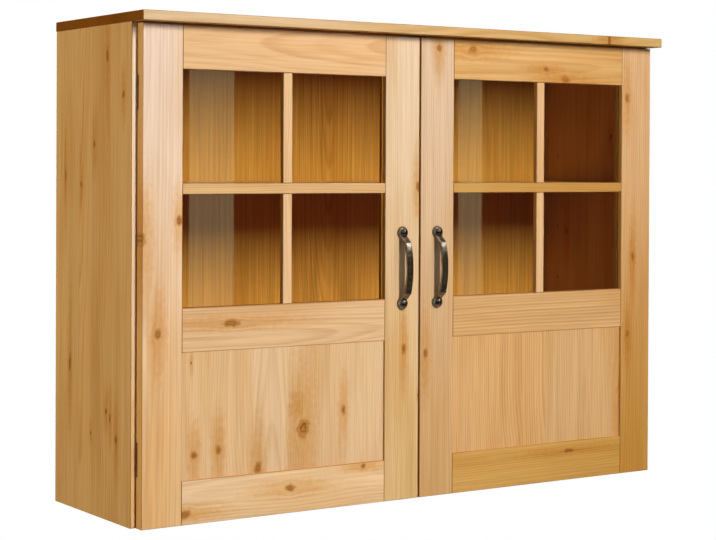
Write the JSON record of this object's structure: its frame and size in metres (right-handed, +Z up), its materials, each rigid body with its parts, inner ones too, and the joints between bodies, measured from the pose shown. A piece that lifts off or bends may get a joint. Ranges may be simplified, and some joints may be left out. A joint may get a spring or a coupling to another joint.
{
  "type": "wall cabinet",
  "caption": "Pine wall cabinet with half-glazed hinged frame doors, bow handles, pin-held shelves and a hanging rail for wall screws.",
  "frame": {"origin": "middle of the row of wall screws in the hanging rail, on the wall plane", "axes": "+X to the right as seen from the front, +Y into the wall, +Z up; the doors face -Y"},
  "size_m": [1, 0.305, 0.75],
  "materials": {
    "top_panel": "clear satin lacquer on pine",
    "left_side": "clear satin lacquer on pine",
    "right_side": "clear satin lacquer on pine",
    "bottom_panel": "clear satin lacquer on pine",
    "back_panel": "clear satin lacquer on pine",
    "hanging_rail": "clear satin lacquer on pine",
    "upper_shelf": "clear satin lacquer on pine",
    "lower_shelf": "clear satin lacquer on pine",
    "left_hinge_stile": "clear satin lacquer on pine",
    "left_meeting_stile": "clear satin lacquer on pine",
    "left_top_rail": "clear satin lacquer on pine",
    "left_middle_rail": "clear satin lacquer on pine",
    "left_bottom_rail": "clear satin lacquer on pine",
    "left_lower_panel": "clear satin lacquer on pine",
    "left_cross_bar": "clear satin lacquer on pine",
    "left_upper_bar": "clear satin lacquer on pine",
    "left_lower_bar": "clear satin lacquer on pine",
    "left_glazing_beads": "clear satin lacquer on pine",
    "right_hinge_stile": "clear satin lacquer on pine",
    "right_meeting_stile": "clear satin lacquer on pine",
    "right_top_rail": "clear satin lacquer on pine",
    "right_middle_rail": "clear satin lacquer on pine",
    "right_bottom_rail": "clear satin lacquer on pine",
    "right_lower_panel": "clear satin lacquer on pine",
    "right_cross_bar": "clear satin lacquer on pine",
    "right_upper_bar": "clear satin lacquer on pine",
    "right_lower_bar": "clear satin lacquer on pine",
    "right_glazing_beads": "clear satin lacquer on pine",
    "hinge_brass": "dark bronzed brass",
    "screw_brass": "dark bronzed brass",
    "handle_pewter": "dark antique pewter, polished",
    "zinc_steel": "zinc-plated",
    "window_glass": "clear float glass",
    "catch_plastic": "moulded",
    "bumper_rubber": "clear elastomer",
    "beech_dowel": "bare beech"
  },
  "bodies": {
    "carcass": {"top_panel": "top_panel", "left_side": "left_side", "right_side": "right_side", "bottom_panel": "bottom_panel", "back_panel": "back_panel", "hanging_rail": "hanging_rail", "upper_shelf": "upper_shelf", "lower_shelf": "lower_shelf", "left_upper_case_leaf": "hinge_brass", "left_lower_case_leaf": "hinge_brass", "right_upper_case_leaf": "hinge_brass", "right_lower_case_leaf": "hinge_brass", "hinge_pins": "hinge_brass", "case_leaf_screws": "screw_brass", "shelf_pins": "zinc_steel", "catch_screws": "zinc_steel", "back_nails": "zinc_steel", "magnet_catch": "catch_plastic", "door_bumpers": "bumper_rubber", "top_dowels": "beech_dowel", "bottom_dowels": "beech_dowel", "hanger_dowels": "beech_dowel"},
    "left_door": {"left_hinge_stile": "left_hinge_stile", "left_meeting_stile": "left_meeting_stile", "left_top_rail": "left_top_rail", "left_middle_rail": "left_middle_rail", "left_bottom_rail": "left_bottom_rail", "left_lower_panel": "left_lower_panel", "left_cross_bar": "left_cross_bar", "left_upper_bar": "left_upper_bar", "left_lower_bar": "left_lower_bar", "left_glazing_beads": "left_glazing_beads", "left_upper_door_leaf": "hinge_brass", "left_lower_door_leaf": "hinge_brass", "left_leaf_screws": "screw_brass", "left_handle": "handle_pewter", "left_handle_screws": "zinc_steel", "left_glass": "window_glass", "left_strike_plate": "zinc_steel", "left_strike_screw": "zinc_steel"},
    "right_door": {"right_hinge_stile": "right_hinge_stile", "right_meeting_stile": "right_meeting_stile", "right_top_rail": "right_top_rail", "right_middle_rail": "right_middle_rail", "right_bottom_rail": "right_bottom_rail", "right_lower_panel": "right_lower_panel", "right_cross_bar": "right_cross_bar", "right_upper_bar": "right_upper_bar", "right_lower_bar": "right_lower_bar", "right_glazing_beads": "right_glazing_beads", "right_upper_door_leaf": "hinge_brass", "right_lower_door_leaf": "hinge_brass", "right_leaf_screws": "screw_brass", "right_handle": "handle_pewter", "right_handle_screws": "zinc_steel", "right_glass": "window_glass", "right_strike_plate": "zinc_steel", "right_strike_screw": "zinc_steel"}
  },
  "joints": [
    {"name": "left_door_hinge", "type": "hinge", "parent": "carcass", "child": "left_door", "pos_m": [-0.4889, -0.265, -0.3435], "axis": [0, 0, -1], "range_deg": [0, 95]},
    {"name": "right_door_hinge", "type": "hinge", "parent": "carcass", "child": "right_door", "pos_m": [0.4889, -0.265, -0.3435], "axis": [0, 0, 1], "range_deg": [0, 95]}
  ]
}
